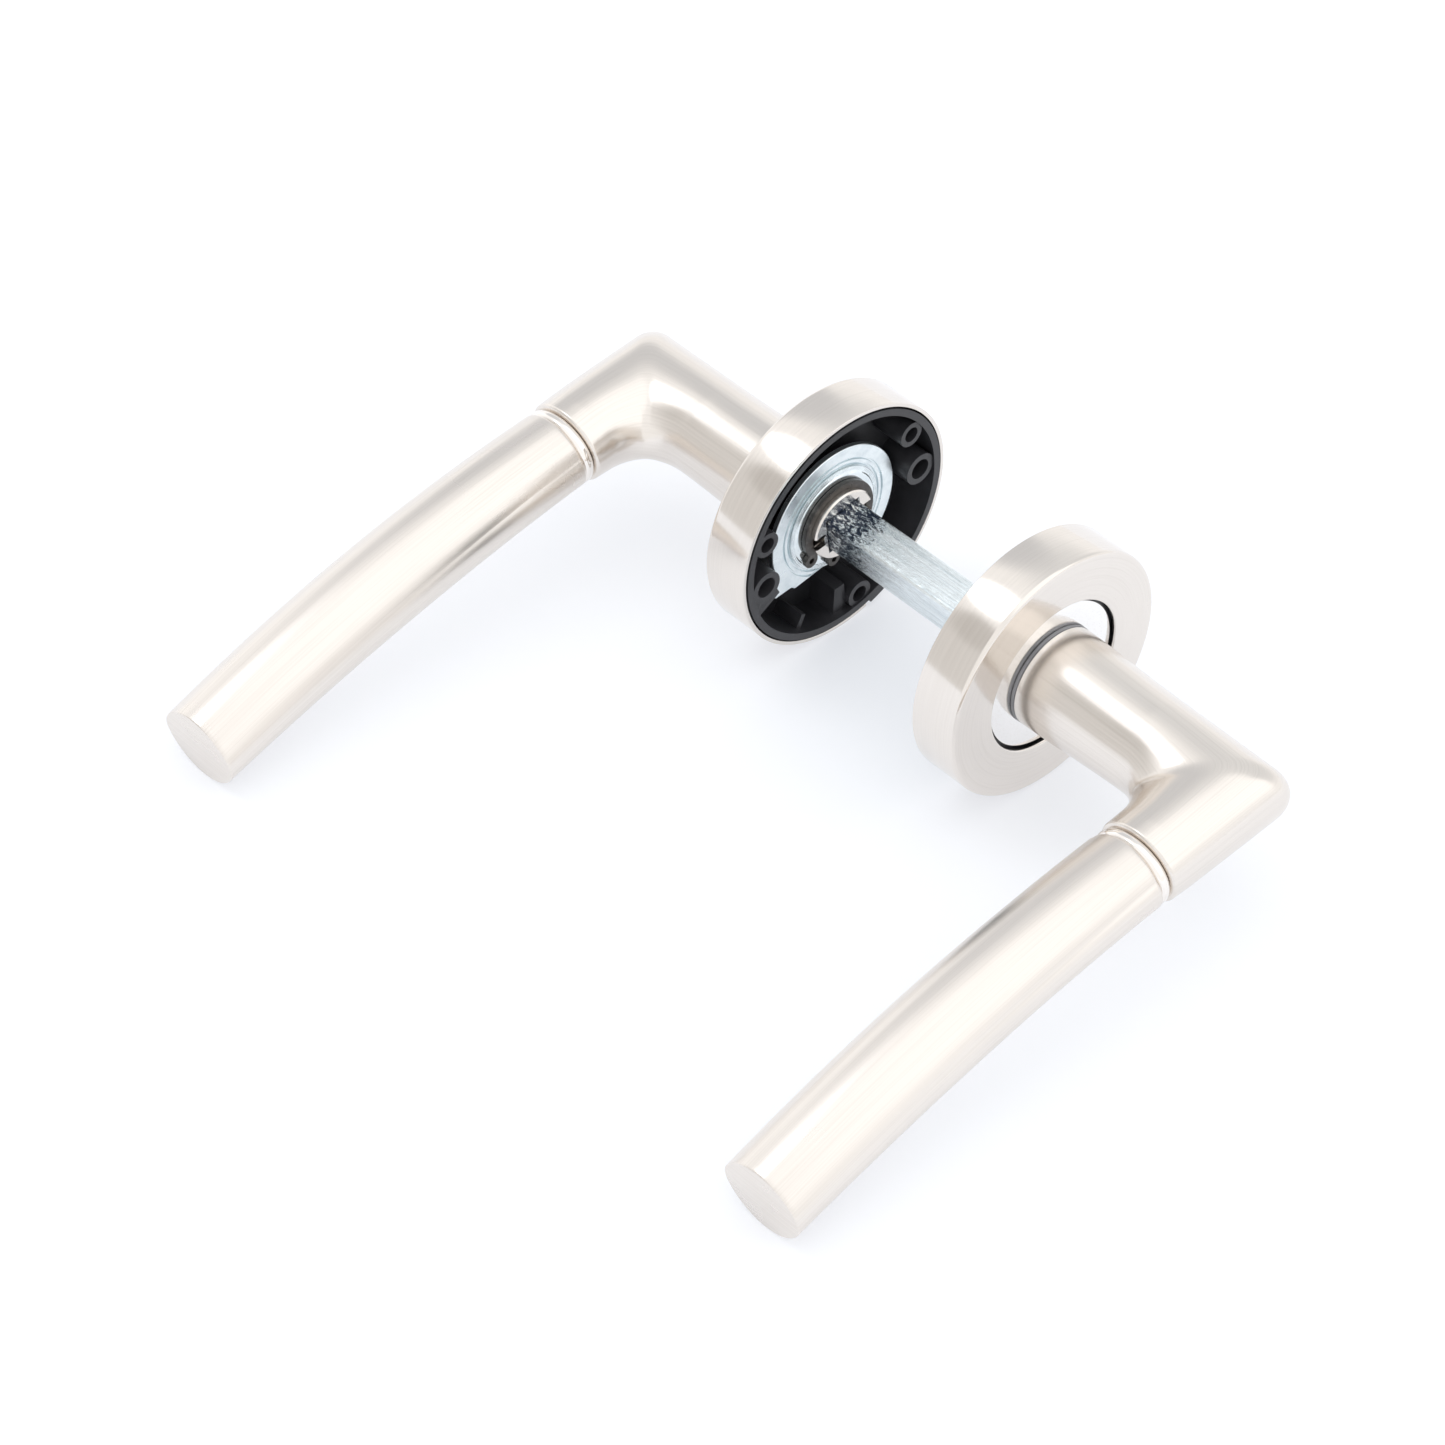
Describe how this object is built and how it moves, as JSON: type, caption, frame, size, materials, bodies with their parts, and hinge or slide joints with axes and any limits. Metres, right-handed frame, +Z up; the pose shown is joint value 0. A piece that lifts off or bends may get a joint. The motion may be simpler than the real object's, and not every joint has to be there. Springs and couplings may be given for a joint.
{
  "type": "door lever handle",
  "caption": "Pair of arched, mitred lever handles on round roses with sprung cam plates, joined by a square spindle.",
  "frame": {"origin": "on the spindle axis, midway between the two roses, where the latch follower sits", "axes": "+X along the spindle to the right-hand lever, the levers point along -Y at rest, +Z up on the door"},
  "size_m": [0.1686, 0.1412, 0.052],
  "materials": {
    "spindle_zinc_plate": "bright zinc plated, drawn",
    "rose_satin_nickel": "satin nickel",
    "elbow_satin_nickel": "satin nickel",
    "grip_satin_nickel": "satin nickel, brushed lengthwise",
    "trim_polished_nickel": "polished",
    "disc_bright_nickel": "bright",
    "base_black_nylon": "moulded",
    "washer_dark_nylon": "moulded",
    "cam_zinc_plate": "bright zinc plated",
    "washer_zinc_plate": "bright zinc plated",
    "clip_black_steel": "phosphated",
    "spring_steel_wire": "drawn wire",
    "screw_black_steel": "black oxide"
  },
  "bodies": {
    "left_rose": {"left_rose_base": "base_black_nylon", "left_face_disc": "disc_bright_nickel", "left_return_spring": "spring_steel_wire"},
    "left_cover": {"left_rose_cover": "rose_satin_nickel"},
    "left_lever": {"left_lever_elbow": "elbow_satin_nickel", "left_trim_ring": "trim_polished_nickel", "left_grip": "grip_satin_nickel", "left_grub_screw": "screw_black_steel", "left_neck_washer": "washer_dark_nylon", "left_cam_plate": "cam_zinc_plate", "left_thrust_washer": "washer_zinc_plate", "left_circlip": "clip_black_steel", "spindle": "spindle_zinc_plate"},
    "right_lever": {"right_lever_elbow": "elbow_satin_nickel", "right_trim_ring": "trim_polished_nickel", "right_grip": "grip_satin_nickel", "right_grub_screw": "screw_black_steel", "right_neck_washer": "washer_dark_nylon", "right_cam_plate": "cam_zinc_plate", "right_thrust_washer": "washer_zinc_plate", "right_circlip": "clip_black_steel"},
    "right_rose": {"right_rose_base": "base_black_nylon", "right_face_disc": "disc_bright_nickel", "right_return_spring": "spring_steel_wire"},
    "right_cover": {"right_rose_cover": "rose_satin_nickel"}
  },
  "joints": [
    {"name": "lever_turn", "type": "hinge", "parent": "left_rose", "child": "left_lever", "pos_m": [0, 0, 0], "axis": [1, 0, 0], "range_deg": [0, 45], "stiffness_Nm_per_rad": 0.6, "springref_deg": -25.78, "deforming": ["left_return_spring"]},
    {"name": "right_lever_slide", "type": "slide", "parent": "left_lever", "child": "right_lever", "axis": [1, 0, 0], "range_m": [-0.012, 0.01]},
    {"name": "right_rose_turn", "type": "hinge", "parent": "right_lever", "child": "right_rose", "pos_m": [0, 0, 0], "axis": [1, 0, 0], "range_deg": [-45, 0], "stiffness_Nm_per_rad": 0.6, "springref_deg": 25.78, "deforming": ["right_return_spring"]},
    {"name": "left_cover_slide", "type": "slide", "parent": "left_rose", "child": "left_cover", "axis": [-1, 0, 0], "range_m": [0, 0.02]},
    {"name": "right_cover_slide", "type": "slide", "parent": "right_rose", "child": "right_cover", "axis": [1, 0, 0], "range_m": [0, 0.02]}
  ],
  "couplings": [
    {"joint": "right_rose_turn", "follows": "lever_turn", "ratio": -1}
  ]
}
